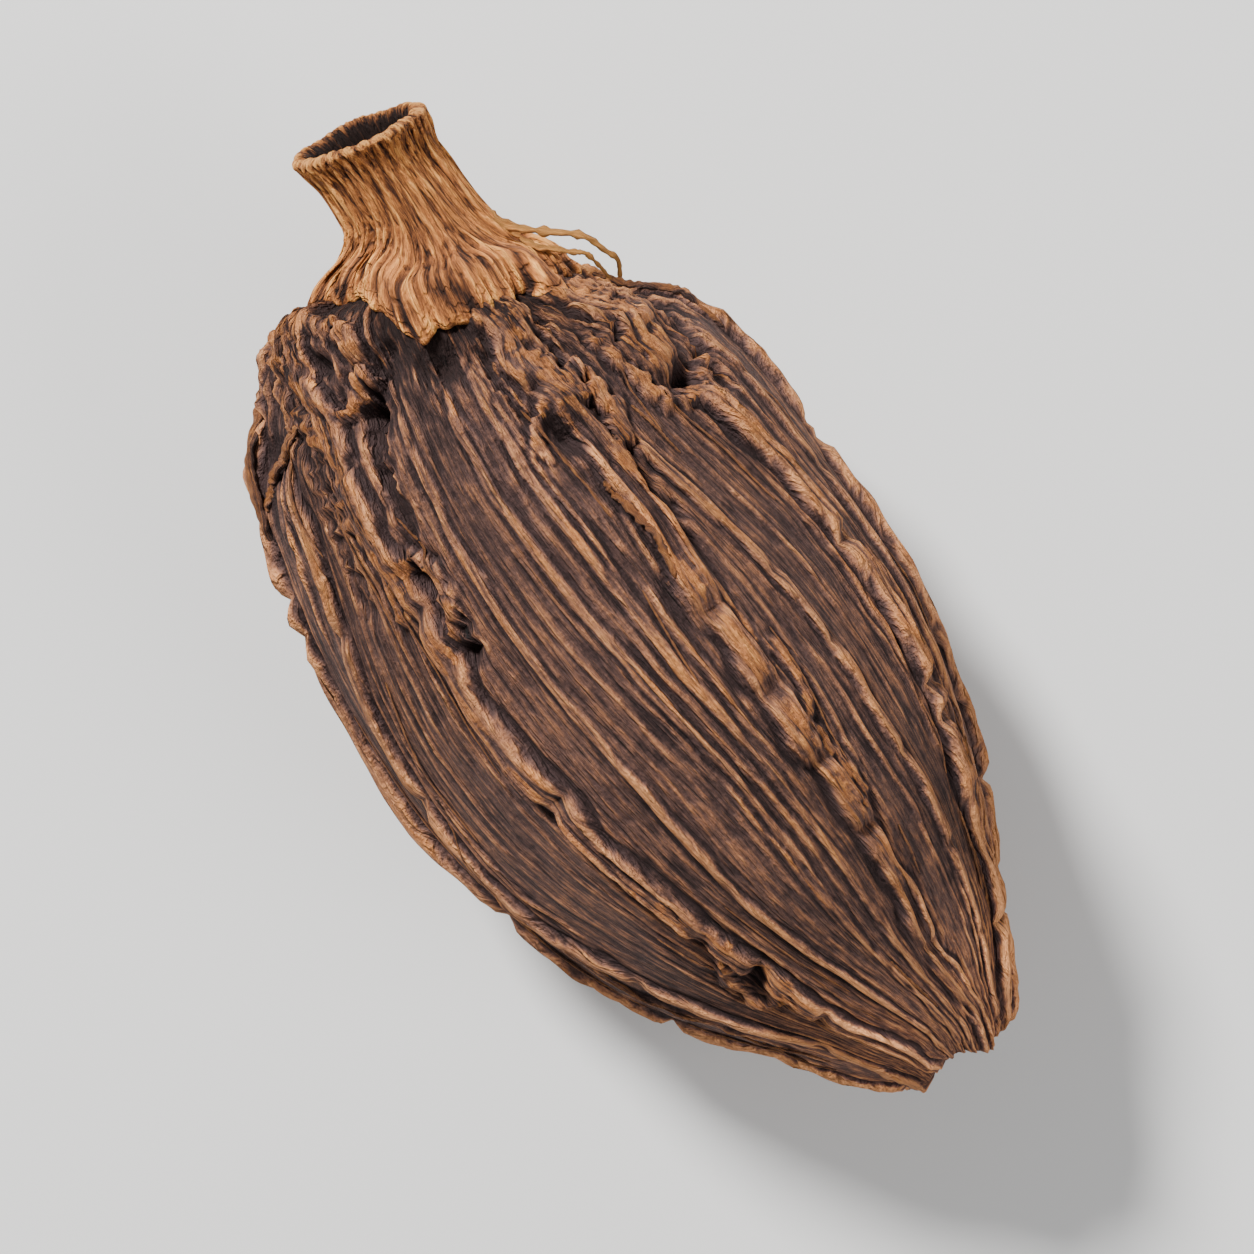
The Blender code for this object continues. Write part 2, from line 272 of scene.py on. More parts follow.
def main_ribs(t, angle):
    """(height, sideways shift, mask) of the main ribs.

    A rib is a strip whose section is exp(-|q|^5), with q its distance in half widths, less a groove down its
    middle where it is split in two. The skin swells gently up to it, exp(-(q/3)^2), and is creased along both
    its sides. Each of its edges is frayed by itself, its height rises and falls along it, most of all on the
    shoulder, and a few cracks run across it.
    """
    height = np.zeros(np.broadcast(t, angle).shape)
    shift, mask = np.zeros_like(height), np.zeros_like(height)
    crumpled = 1 - ramp(t, 0.24, 0.44)
    grown = bared(t, angle) * (0.45 + 0.55 * girth(t)) * (1 - 0.4 * ramp(t, 0.93, 1))
    for k, (tall, broad, split, line) in enumerate(RIBS):
        away = from_rib(line, t, angle)
        sides = [1 + 0.20 * sway(t, seed + k, 14) + 0.08 * sway(t, seed + 40 + k, 28) for seed in (300, 500)]
        q = away / as_angle(RIB_HALF_WIDTH * broad, t) / np.where(away > 0, *sides)
        q = q + 0.12 * sway(t, 360 + k, 9)
        section = np.exp(-np.abs(q) ** 5)
        parted = along_rib(split, t) * np.clip(0.8 + 0.5 * sway(t, 390 + k, 5), 0, 1)
        groove = 1 - 0.85 * parted * np.exp(-((q / 0.50) ** 4))
        uneven = 1 + (0.14 + 0.16 * crumpled) * sway(t, 100 + k, 7) + 0.06 * sway(t, 450 + k, 26)
        cracks = 1.0
        places = np.random.default_rng(420 + k).uniform(0.25, 0.97, 6)
        if k == BROAD_RIB:
            places = BROAD_RIB_CRACKS
        for crack in places:
            off = (t - crack - 0.002 * q) / CRACK_HALF_WIDTH
            cracks = cracks * (1 - CRACK_DEPTH * np.exp(-(off**2)))
        swell = 0.25 * np.exp(-((q / 3) ** 2)) - 0.22 * np.exp(-(((np.abs(q) - 1.45) / 0.35) ** 2))
        strip = (0.78 * uneven * cracks * groove * section + swell) * pressed(t, angle)
        height += RIB_HEIGHT * tall * grown * strip
        shift += RIB_HEIGHT * tall * grown * (0.04 + 0.2 * crumpled) * sway(t, 200 + k, 9) * section
        crest = section * groove * cracks * grown * (0.45 + 0.55 * tall) * np.clip(uneven, 0.4, 1.2)
        mask = np.maximum(mask, crest)
    return height, shift, mask


def fine_ribs(t, at, angle, stretch):
    """(height, mask) of the fine ribs: thin threads side by side in the valleys, which come and go.

    A thread's section is exp(-|q|^1.5), with q its distance in half widths, and a crease on each side.
    """
    draw = np.random.default_rng(7)
    height = np.zeros(np.broadcast(t, angle).shape)
    mask = np.zeros_like(height)
    grown = bared(t, angle) * (0.35 + 0.65 * girth(t)) * np.clip(stretch, 0.3, 1)
    for k in range(FINE_RIBS):
        line = TURN * (k + draw.uniform(-0.3, 0.3)) / FINE_RIBS
        wander = TURN / FINE_RIBS * (0.30 * sway(t, 500 + k, 1.5) + 0.05 * sway(t, 600 + k, 14))
        away = ((at - line - wander + math.pi) % TURN - math.pi) * stretch
        q = away / as_angle(FINE_HALF_WIDTH * draw.uniform(0.75, 1.5), t)
        there = np.clip(0.50 + 0.7 * sway(t, 700 + k, 2.5), 0, 1.2) * draw.uniform(0.1, 1.4)
        section = np.exp(-np.abs(q) ** 1.5) * there * (1 + 0.20 * sway(t, 800 + k, 22))
        crease = 0.30 * there * np.exp(-(((np.abs(q) - 2.1) / 0.6) ** 2))
        height += FINE_HEIGHT * grown * (section - crease)
        mask = np.maximum(mask, section * grown)
    return height, mask


def crumples(t, angle):
    """The lumps and hollows: each one is a height times exp(-(distance / radius)^2), on the upper side."""
    seen_from_above = core(t, angle)[..., :2] / MM
    total = 0
    for x, y, radius, height in CRUMPLES:
        away = np.linalg.norm(seen_from_above - (x, y), axis=-1)
        total = total + height * MM * np.exp(-((away / radius) ** 2))
    return total * ramp(np.cos(angle), 0.0, 0.3)


# Where the husk dried hardest its ribs have curled over on themselves, and deep grooves run beside them.
# Each line, seen from above, all in mm: its half width and its height, below zero for a groove, and the
# places along the pod and across it that it runs through. It is worked out in steps.
CURL_STEPS = 120
CURLS = (
    (0.30, -0.45, ((-13.3, -1.4), (-12.4, -2.3), (-11.6, -3.0), (-10.4, -3.4), (-9.3, -3.7), (-6.7, -4.1),
                   (-4.6, -4.3), (-3.0, -4.4))),
    (0.24, -0.40, ((-12.0, 2.9), (-11.1, 3.2), (-9.6, 3.4), (-7.7, 3.4), (-5.6, 3.4), (-2.7, 3.5))),
    (0.20, -0.30, ((-11.4, 1.0), (-10.2, 1.1), (-9.0, 1.3), (-7.6, 1.2))),
    (0.22, -0.35, ((-12.6, -5.4), (-11.2, -5.4), (-9.6, -5.9), (-8.0, -6.2), (-6.2, -6.6))),
    (0.22, -0.35, ((-12.0, 5.9), (-10.6, 6.5), (-9.0, 7.2), (-7.6, 7.4), (-6.0, 7.5))),
    (0.21, 0.42, ((-5.2, 2.9), (-6.0, 3.1), (-7.0, 3.6), (-8.0, 3.4), (-8.5, 2.6), (-8.4, 1.7), (-7.9, 1.1),
                  (-7.2, 1.1))),
    (0.20, 0.36, ((-3.2, -4.9), (-4.4, -4.4), (-5.4, -4.0), (-6.4, -4.1), (-6.9, -4.7), (-6.4, -5.4),
                  (-5.2, -5.5))),
    (0.16, 0.36, ((5.6, -4.3), (6.2, -4.0), (7.4, -3.6), (8.4, -3.2), (9.1, -2.8), (9.6, -3.2), (10.4, -3.4),
                  (11.3, -3.1), (11.9, -2.5), (11.5, -1.9), (10.9, -2.1), (10.4, -2.4))),
    (0.26, 0.50, ((-13.6, -2.2), (-14.4, -2.2), (-15.2, -2.9), (-15.3, -3.9), (-14.6, -4.3), (-13.5, -4.2),
                  (-12.2, -3.8), (-12.4, -2.9), (-13.0, -2.4))),
    (0.60, 0.34, ((-12.4, 4.5), (-10.9, 4.9), (-9.4, 5.4), (-8.2, 5.9))),
    (0.18, 0.42, ((-9.6, 4.3), (-8.4, 4.6), (-7.4, 5.0), (-6.6, 5.4), (-6.2, 6.1), (-6.5, 6.8), (-7.2, 7.0))),
    (0.42, 0.36, ((-12.4, 2.1), (-11.4, 2.5), (-10.4, 2.0), (-9.6, 2.5), (-8.8, 2.8))),
    (0.20, 0.36, ((-13.0, -4.9), (-12.0, -4.8), (-10.8, -4.6), (-9.8, -5.0), (-8.4, -5.2), (-7.4, -5.0))),
    (0.16, 0.26, ((1.6, 3.6), (2.6, 3.9), (3.8, 3.7), (4.6, 3.3), (5.8, 3.5), (7.0, 3.7), (8.0, 3.3))),
)


def curls(t, angle):
    """(height, mask) of the curls and grooves.

    The section is exp(-q^4), with q the distance from the line in half widths. Its width and its height rise
    and fall along the line. A curl has a low dent along each side, and a groove has none.
    """
    points = core(t, twisted(t, angle))
    height, mask = np.zeros(points.shape[:-1]), np.zeros(points.shape[:-1])
    for number, (half_width, rise, route) in enumerate(CURLS):
        steps = np.linspace(0, 1, CURL_STEPS)
        line = through(MM * np.array(route), steps)
        for axis in (0, 1):
            line[:, axis] += 0.09 * MM * sway(steps, 900 + 2 * number + axis, 9)
        room = 2.5 * half_width * MM
        inside = (points[..., :2] > line.min(0) - room) & (points[..., :2] < line.max(0) + room)
        near = inside.all(-1) & (np.cos(angle) > 0)
        away = np.linalg.norm(points[near][:, None, :2] - line, axis=-1)
        s = away.argmin(1) / (CURL_STEPS - 1)
        wide = 0.95 + 0.3 * sway(s, 1000 + number, 7) + 0.15 * sway(s, 1050 + number, 21)
        high = 0.85 + 0.25 * sway(s, 1100 + number, 9) + 0.12 * sway(s, 1150 + number, 23)
        q = away.min(1) / (half_width * MM * wide)
        section = np.exp(-(q**4)) * high
        if rise < 0:
            height[near] = np.minimum(height[near], rise * MM * section)
            continue
        dent = 0.25 * np.exp(-(((q - 1.6) / 0.4) ** 2))
        height[near] = np.where(section > dent, np.maximum(height[near], rise * MM * section), height[near])
        height[near] -= rise * MM * dent * (height[near] < 0.1 * rise * MM)
        mask[near] = np.maximum(mask[near], section)
    return height, mask


def folds(t, at, angle):
    """The height of the folds: low swells and small nubs all over, and sharp creases along the ribs.

    A crease is 0.55 - |sines|, sharp where the sines pass zero. Creases and swells are highest on the
    shoulder.
    """
    swells = sway(t + 0.05 * np.sin(3 * angle), 31, 5) * np.sin(5 * angle + 9 * t)
    crumpled = 1 - ramp(t, 0.24, 0.40)
    creases = 0.55 - np.abs(patchy(t, at, 61, 4, 17)) + 0.6 * (0.5 - np.abs(patchy(t, at, 62, 9, 34)))
    nubs = patchy(t, at, 63, 26, 60)
    low = (0.06 + 0.12 * crumpled) * swells + (0.02 + 0.18 * crumpled) * creases
    return MM * bared(t, angle) * (low + 0.014 * nubs)


def husk_surface(t, at):
    """(points, crest mask, height) of the husk: the core, raised along its normal and pushed sideways."""
    angle, stretch = flow(t, at)
    thick, shift, thick_mask = main_ribs(t, angle)
    thin, thin_mask = fine_ribs(t, at, angle, stretch)
    curled, curl_mask = curls(t, angle)
    clear = 1 - 0.55 * np.clip(thick_mask, 0, 1)
    alone = 1 - 0.8 * np.clip(curl_mask, 0, 1)
    height = (thick + thin * clear * pressed(t, angle)) * alone + folds(t, at, angle) * pressed(t, angle)
    height = height + bared(t, angle) * (crumples(t, angle) + curled)
    turned = twisted(t, angle)
    normal, around = outward(t, turned)
    points = core(t, turned) + height[..., None] * normal + shift[..., None] * around
    bundles = np.cos(5 * (angle - 0.75)) + 0.4 * patchy(0 * t, angle, 41, 0, 12)
    ragged = ramp(t, 0.92, 1) * (0.26 * bundles + 0.20 * thick_mask)
    points[..., 0] += MM * ragged
    mask = np.maximum(np.maximum(thick_mask, 0.74 * thin_mask * clear) * alone, curl_mask * bared(t, angle))
    return points, mask, height


def stands_out(height, reach, usual):
    """How far a place stands out from those round the husk, reach columns each way, in usual heights."""
    evened = sum(np.roll(height, k, axis=1) for k in range(-reach, reach + 1)) / (2 * reach + 1)
    return np.clip((height - evened) / usual, -1.3, 1.3)


def tubes_mesh(name, tubes):
    """A mesh of closed tubes. Each tube is rows of points round it, and the poles that close its two ends."""
    points, corners, counts, first = [], [], [], 0
    for rows, start, end in tubes:
        count, around, _ = rows.shape
        points.append(np.concatenate([rows.reshape(-1, 3), [start, end]]))
        j = np.arange(around)
        beside = (j + 1) % around
        low = np.arange(count - 1)[:, None] * around
        quads = np.stack([low + j, low + beside, low + around + beside, low + around + j], -1)
        last = (count - 1) * around
        near_cap = np.stack([np.full(around, count * around), beside, j], -1)
        far_cap = np.stack([last + j, last + beside, np.full(around, count * around + 1)], -1)
        corners += [first + quads.ravel(), first + near_cap.ravel(), first + far_cap.ravel()]
        counts += [np.full((count - 1) * around, 4), np.full(2 * around, 3)]
        first += len(points[-1])
    points, corners, counts = (np.concatenate(parts) for parts in (points, corners, counts))
    mesh = bpy.data.meshes.new(name)
    mesh.vertices.add(len(points))
    mesh.vertices.foreach_set("co", points.astype(np.float32).ravel())
    mesh.loops.add(len(corners))
    mesh.loops.foreach_set("vertex_index", corners.astype(np.int32))
    mesh.polygons.add(len(counts))
    mesh.polygons.foreach_set("loop_start", (np.cumsum(counts) - counts).astype(np.int32))
    mesh.update(calc_edges=True)
    mesh.validate()
    mesh.shade_smooth()
    return mesh


def paint(mesh, name, values, kind="FLOAT"):
    """Keeps a value or a vector for each point of the mesh, which its material reads by name."""
    attribute = mesh.attributes.new(name, kind, "POINT")
    attribute.data.foreach_set("value" if kind == "FLOAT" else "vector", values.astype(np.float32).ravel())


def fibre_lines(angle, radius, length):
    """Where a point is in the skin: round a tube of one radius, at a length along it.

    The length is given shortened, so that a pattern runs in long streaks along the fibres. The radius is the
    same all along, so it gets finer where the skin narrows.
    """
    return np.stack(np.broadcast_arrays(radius * np.cos(angle), radius * np.sin(angle), length), -1)


class Wire:
    """An output of a material's node. Arithmetic on wires adds Math nodes to the same material."""

    def __init__(self, finish, socket):
        self.finish = finish
        self.socket = socket

    def maths(self, operation, *values):
        return self.finish.node("ShaderNodeMath", {"operation": operation}, dict(enumerate(values)))

    def __add__(self, other):
        return self.maths("ADD", self, other)

    def __sub__(self, other):
        return self.maths("SUBTRACT", self, other)

    def __rsub__(self, other):
        return self.maths("SUBTRACT", other, self)

    def __mul__(self, other):
        return self.maths("MULTIPLY", self, other)

    __radd__ = __add__
    __rmul__ = __mul__

    def between(self, low, high):
        """0 below low, 1 above high, and a smooth step between."""
        inputs = {"Value": self, "From Min": low, "From Max": high}
        return self.finish.node("ShaderNodeMapRange", {"interpolation_type": "SMOOTHSTEP"}, inputs)


class Finish:
    """A material whose Principled shader is fed by the nodes that are added to it."""

    def __init__(self, name):
        self.material = bpy.data.materials.new(name)
        self.material.use_nodes = True
        self.tree = self.material.node_tree
        self.shader = self.tree.nodes["Principled BSDF"]

    def node(self, kind, settings=None, inputs=None, output=0):
        """A node of that type, with its settings made first, then the value or wire of each socket."""
        node = self.tree.nodes.new(kind)
        settings = dict(settings or {})
        stops = settings.pop("stops", None)
        for name, value in settings.items():
            setattr(node, name, value)
        if stops:
            elements = node.color_ramp.elements
            while len(elements) < len(stops):
                elements.new(0.5)
            for element, (place, colour) in zip(elements, stops):
                element.position = place
                element.color = (*colour, 1)
        for name, value in (inputs or {}).items():
            self.feed(node.inputs[name], value)
        return Wire(self, node.outputs[output])

    def feed(self, socket, value):
        if isinstance(value, Wire):
            self.tree.links.new(value.socket, socket)
        else:
            socket.default_value = value

    def attribute(self, name, output="Fac"):
        return self.node("ShaderNodeAttribute", {"attribute_name": name}, output=output)

    def noise(self, place, scale, detail, roughness):
        inputs = {"Vector": place, "Scale": scale, "Detail": detail, "Roughness": roughness}
        return self.node("ShaderNodeTexNoise", None, inputs)

    def hairlines(self, place, scale, width):
        """1 along thin lines that wander where a noise passes its middle, and 0 elsewhere."""
        off = self.noise(place, scale, 2.0, 0.5) - 0.5
        return 1 - off.maths("ABSOLUTE", off).between(0.2 * width, width)

    def colours(self, value, *stops):
        return self.node("ShaderNodeValToRGB", {"stops": stops}, {"Fac": value})

    def mixed(self, first, second, share):
        return self.node("ShaderNodeMix", {"data_type": "RGBA"}, {0: share, 6: first, 7: second}, output=2)

    def scaled(self, vector, share):
        """A colour or a vector times a value."""
        return self.node("ShaderNodeVectorMath", {"operation": "SCALE"}, {0: vector, "Scale": share})

    def bump(self, height, distance):
        return self.node("ShaderNodeBump", None, {"Height": height, "Distance": distance})


def husk_finish():
    """Dark purple-brown valleys, brown slopes and copper-tan crests, dry, matt and streaked lengthways."""
    finish = Finish("husk")
    skin = finish.attribute("skin", "Vector")
    place = finish.node("ShaderNodeTexCoord", output="Object")
    relief = finish.attribute("relief")
    crease = finish.attribute("crease")
    crest = finish.attribute("crest")
    near_stalk = finish.attribute("near_stalk")
    near_tip = finish.attribute("near_tip")
    streaks = finish.noise(skin, 2.6, 5.0, 0.65)
    threads = finish.noise(skin, 7.0, 4.0, 0.7)
    blotches = finish.noise(place, 260.0, 3.0, 0.55)
    crumbs = finish.noise(place, 2600.0, 3.0, 0.7)
    cracks = finish.hairlines(skin, 2.3, 0.07)
    glints = finish.hairlines(skin, 3.4, 0.05)
    # Relief and crease darken the hollows and lighten what stands out. This is partly the husk's own colour
    # and partly painted shade and painted highlight.
    level = relief * 0.16 + crease * 0.24 + 0.48 + (streaks - 0.5) * 0.9 + (threads - 0.5) * 1.2
    level = level - cracks * 0.16 + glints * 0.10
    skin_colour = finish.colours(
        level + (crumbs - 0.5) * 0.55,
        (0.10, (0.026, 0.012, 0.011)),
        (0.32, (0.080, 0.039, 0.031)),
        (0.50, (0.160, 0.074, 0.049)),
        (0.72, (0.370, 0.152, 0.072)),
        (0.95, (0.670, 0.290, 0.115)),
    )
    plum = finish.mixed(skin_colour, (0.105, 0.056, 0.050, 1), (blotches - 0.35).between(0.0, 0.4) * 0.30)
    copper = finish.colours(
        threads * 0.6 + streaks * 0.4 + (crumbs - 0.5) * 0.5,
        (0.30, (0.210, 0.074, 0.026)),
        (0.52, (0.500, 0.180, 0.054)),
        (0.75, (0.960, 0.410, 0.120)),
    )
    # Copper on the crests: partly the husk's own worn colour and partly painted highlight.
    wear_and_highlight = (crest - cracks * 0.3 + (streaks - 0.5) * 1.3 + (crumbs - 0.5) * 0.7).between(0.50, 0.86)
    tan = finish.colours(
        level,
        (0.10, (0.018, 0.006, 0.004)),
        (0.34, (0.110, 0.038, 0.015)),
        (0.56, (0.360, 0.135, 0.046)),
        (0.90, (0.780, 0.360, 0.130)),
    )
    colour = finish.mixed(finish.mixed(plum, tan, near_stalk), copper, wear_and_highlight * 0.9)
    # Towards the tip the colour is brightened: painted light where the tip turns away from the lamps.
    finish.feed(finish.shader.inputs["Base Color"], finish.scaled(colour, 1 + near_tip * 0.7))
    finish.feed(finish.shader.inputs["Roughness"], 0.80 - 0.22 * wear_and_highlight - (threads - 0.5) * 0.2)
    finish.feed(finish.shader.inputs["Specular IOR Level"], 0.28)
    grain = threads * 1.1 + crumbs * 0.6 + streaks * 0.4 - cracks * 0.3 + glints * 0.2
    finish.feed(finish.shader.inputs["Normal"], finish.bump(grain, 0.0004))
    return finish.material


def put(name, mesh, material, node):
    """Places a finished mesh in the scene, in the place of a plain solid, riding on the pod's one body."""
    mesh.materials.append(material)
    piece = bpy.data.objects.new(name, mesh)
    bpy.context.scene.collection.objects.link(piece)
    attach(piece, "root")
    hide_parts(node)


# The husk's grid. At each of these shares of its rows it has come to that share of the sections, so its rows
# are closest on the shoulder. Its columns are closest on the upper side.
HUSK_ROWS = 156
HUSK_COLUMNS = 620
ROW_SHARES = (0, 0.06, 0.42, 0.89, 1)
SECTION_SHARES = (0, 0.15, 0.417, 0.84, 1)
husk_t = np.interp(np.linspace(0, 1, HUSK_ROWS), ROW_SHARES, SECTION_SHARES)[:, None]
round_husk = np.linspace(-math.pi, math.pi, HUSK_COLUMNS, endpoint=False)[None, :]
husk_at = round_husk - 0.35 * np.sin(round_husk)
husk_angle, _ = flow(husk_t, husk_at)
husk_points, husk_crest, husk_height = husk_surface(husk_t, husk_at)

# The tip's end is a shallow hollow: two rings, each a share of the rim's size and a depth in mm, and a pole.
TIP_RINGS = ((0.72, 0.1), (0.35, 0.5))
TIP_DEPTH = 0.6 * MM
tip_middle = husk_points[-1].mean(0)
tip_rim = husk_points[-1] - tip_middle
inner_tip = [tip_middle + tip_rim * share - (depth * MM, 0, 0) for share, depth in TIP_RINGS]
husk_rows = np.concatenate([husk_points, inner_tip])
husk_rows[..., 2] = np.maximum(husk_rows[..., 2], 0)
husk_mesh = tubes_mesh("ribbed_husk", [(husk_rows, husk_points[0].mean(0), tip_middle - (TIP_DEPTH, 0, 0))])

# What the husk's finish reads. Relief and crease say how far the skin stands out, coarsely and finely, so
# they also carry painted shade in the hollows and painted highlight on the crests. Relief is lower under the
# skirt and in the pits, as painted shade, lower on the shoulder, which looks darker, and higher at the tip,
# as painted light.
near_tip = ramp(husk_t, 0.70, 0.88)
in_shade = 1 - ramp(husk_t, skirt_edge(husk_angle), skirt_edge(husk_angle) + 0.06)
in_pits = np.clip(-crumples(husk_t, husk_angle) / (0.20 * MM), 0, 1.8)
on_shoulder = 1 - ramp(husk_t, 0.26, 0.42)
husk_relief = stands_out(husk_height, 12, 0.22 * MM) * (1 + near_tip)
husk_relief = husk_relief - 1.9 * in_shade - in_pits + near_tip - 0.8 * on_shoulder
husk_crease = stands_out(husk_height, 3, 0.05 * MM) * (1 + 1.2 * near_tip)

# The husk's place in the skin, in mm: its radius, and its length shortened to a seventh.
HUSK_SKIN_RADIUS = 9
HUSK_SKIN_LENGTH = 36 / 7
husk_skin = fibre_lines(husk_at, HUSK_SKIN_RADIUS, HUSK_SKIN_LENGTH * husk_t)


def with_tip(values, inside):
    """A value for every point of the husk: the grid's, then the tip's inner rows and the two poles."""
    return np.concatenate([values.ravel(), np.full(len(TIP_RINGS) * HUSK_COLUMNS + 2, inside)])


paint(husk_mesh, "relief", with_tip(husk_relief, 0.4))
paint(husk_mesh, "crease", with_tip(husk_crease, -0.2))
paint(husk_mesh, "crest", with_tip(husk_crest, 0.0))
paint(husk_mesh, "near_tip", with_tip(np.broadcast_to(near_tip, husk_angle.shape), 0.5))
past_skirt = (husk_t - skirt_edge(husk_angle)) / (0.05 + 0.05 * ramp(-husk_angle, 0.2, 0.8))
paint(husk_mesh, "near_stalk", with_tip(0.8 * np.exp(-(np.maximum(past_skirt, 0) ** 2)), 0.0))
tip_skin = np.concatenate([husk_skin[-1]] * len(TIP_RINGS) + [husk_skin[0, :1], husk_skin[-1, :1]])
paint(husk_mesh, "skin", np.concatenate([husk_skin.reshape(-1, 3), tip_skin]), "FLOAT_VECTOR")
husk_material = husk_finish()
put("ribbed_husk", husk_mesh, husk_material, "husk")


# On the shoulder some ribs have torn loose. They are narrow bands of the same dry skin, still grown on at
# their ends, and they stand off the husk between them, so that dark gaps show.
husk_normal, _ = outward(husk_t, twisted(husk_t, husk_angle))

# Each band, seen from above: the half width and half thickness of the band, how far it stands off, and the
# places along the pod and across it, all in mm.
TORN_RIBS = (
    (0.22, 0.18, 0.06, ((-15.8, -3.8), (-15.3, -5.2), (-14.2, -6.5), (-12.8, -7.5), (-11.0, -8.2),
                        (-9.0, -8.5))),
    (0.18, 0.16, 0.25, ((-13.2, -4.9), (-12.4, -5.8), (-12.0, -6.8), (-11.2, -7.8))),
    (0.16, 0.14, 0.05, ((-12.6, 6.0), (-11.4, 7.2), (-9.8, 8.2), (-8.0, 8.8))),
    (0.14, 0.12, 0.18, ((-5.6, 2.2), (-4.4, 2.3), (-3.0, 2.5), (-1.6, 2.4))),
)
BAND_STEPS = 90
BAND_SIDES = 12


def under(route):
    """The husk's points and normals below a route of (along, across) places in mm, looked up from above."""
    upper = husk_normal[..., 2] > 0.12
    points, normals = husk_points[upper], husk_normal[upper]
    away = ((points[None, :, :2] - MM * np.array(route)[:, None]) ** 2).sum(-1)
    nearest = away.argmin(1)
    return points[nearest], normals[nearest]


def band(path, normal, half_width, half_thick, seed, sides=BAND_SIDES):
    """A crinkled band along a path: its tube, how far each point faces up, and its place in the skin.

    Its section is an ellipse, wide across the path and thin along the normal. Seeded sines change its width
    and tip it from side to side, and it narrows at both ends.
    """
    s = np.linspace(0, 1, len(path))[:, None]
    along = np.gradient(path, axis=0)
    along /= np.linalg.norm(along, axis=-1, keepdims=True)
    side = np.cross(normal, along)
    side /= np.linalg.norm(side, axis=-1, keepdims=True)
    up = np.cross(along, side)
    narrowed = np.sqrt(np.clip(1 - np.abs(2 * s - 1) ** 7, 0, 1)) * 0.85 + 0.15
    wide = half_width * narrowed * (1 + 0.22 * sway(s, seed, 9) + 0.12 * sway(s, seed + 1, 20))
    thick = half_thick * narrowed * (1 + 0.20 * sway(s, seed + 2, 12))
    tipped = 0.5 * sway(s, seed + 3, 4)
    turn = np.linspace(0, TURN, sides, endpoint=False)[None]
    across = (wide * np.cos(turn) * np.cos(tipped) - thick * np.sin(turn) * np.sin(tipped))[..., None]
    above = (wide * np.cos(turn) * np.sin(tipped) + thick * np.sin(turn) * np.cos(tipped))[..., None]
    rows = path[:, None] + across * side[:, None] + above * up[:, None]
    length = np.linalg.norm(np.diff(path, axis=0), axis=-1).sum()
    lines = fibre_lines(turn, 1, s * length / MM / 5)
    facing = np.broadcast_to(np.sin(turn), rows.shape[:2])
    return (rows[:, ::-1], path[0], path[-1]), facing[:, ::-1], lines[:, ::-1]


def bands_piece(name, bands, shades, material, node):
    """One piece made of bands or fibres. A shade is a value for their sides and what their tops add to it."""
    mesh = tubes_mesh(name, [tube for tube, _, _ in bands])
    up = np.concatenate([np.append(facing, (0, 0)) for _, facing, _ in bands])
    lines = [np.concatenate([line.reshape(-1, 3), line[[0, -1], 0]]) for _, _, line in bands]
    # Tops are painted lighter and undersides darker, by how far each point faces up: painted light and shade.
    for shade, (sides, top) in shades.items():
        paint(mesh, shade, sides + top * up)
    paint(mesh, "skin", np.concatenate(lines), "FLOAT_VECTOR")
    put(name, mesh, material, node)


def torn_rib(number, half_width, half_thick, off, route):
    """A torn rib: a band laid on the husk along its route, which stands off most at its middle."""
    points, normals = under(route)
    s = np.linspace(0, 1, BAND_STEPS)
    path, normal = through(points, s), through(normals, s)
    normal /= np.linalg.norm(normal, axis=-1, keepdims=True)
    lift = MM * (off * (0.8 + 0.3 * sway(s, 1200 + number, 3)) * np.sin(math.pi * s) ** 0.6 - 0.05)
    return band(path + lift[:, None] * normal, normal, half_width * MM, half_thick * MM, 1100 + 10 * number)


# Torn ribs and fibres get more relief, crease and crest on top than on their sides: painted light above and
# painted shade below, and partly the crests' own copper.
torn_shades = {
    "relief": (0.2, 0.9),
    "crease": (0.4, 0.8),
    "crest": (0.55, 0.45),
    "near_stalk": (0, 0),
    "near_tip": (0, 0),
}
torn_bands = [torn_rib(k, *sizes) for k, sizes in enumerate(TORN_RIBS)]
bands_piece("torn_ribs", torn_bands, torn_shades, husk_material, "husk")


# Loose fibres of the skin, no thicker than a hair, have dried away from it. They lie along the ribs, and
# each lifts a little in its middle.
FIBRES = 46
FIBRE_STEPS = 40
FIBRE_SIDES = 6


def fibre(number):
    """A hair of skin that follows the ribs for a few millimetres and drifts across them."""
    draw = np.random.default_rng(2000 + number)
    knots = np.linspace(0, 1, 5)[:, None]
    t = draw.uniform(0.24, 0.80) + draw.uniform(0.04, 0.13) * knots
    at = draw.uniform(-2.3, 2.3) + draw.uniform(-0.05, 0.05) * knots
    points, _, _ = husk_surface(t, at)
    normal, _ = outward(t, flow(t, at)[0])
    s = np.linspace(0, 1, FIBRE_STEPS)
    up = through(normal[:, 0], s)
    lift = MM * (0.02 + draw.uniform(0.02, 0.15) * np.sin(math.pi * s) ** 2)
    radius = MM * draw.uniform(0.03, 0.055)
    path = through(points[:, 0], s) + lift[:, None] * up
    return band(path, up, radius, radius, 2200 + 10 * number, FIBRE_SIDES)


bands_piece("fibres", [fibre(k) for k in range(FIBRES)], torn_shades, husk_material, "husk")


# The stub of stalk that the pod was picked with: a short hollow neck with a thin flared mouth. It is paler
# than the husk and of the same dry fibres, and it grows out below into a ragged skirt over the shoulder.
STALK_RADIUS = 2.15 * MM
STALK_HOLE_RADIUS = 1.5 * MM
STALK_HOLE_DEPTH = 4.2 * MM
STALK_ROWS = 150
STALK_COLUMNS = 560

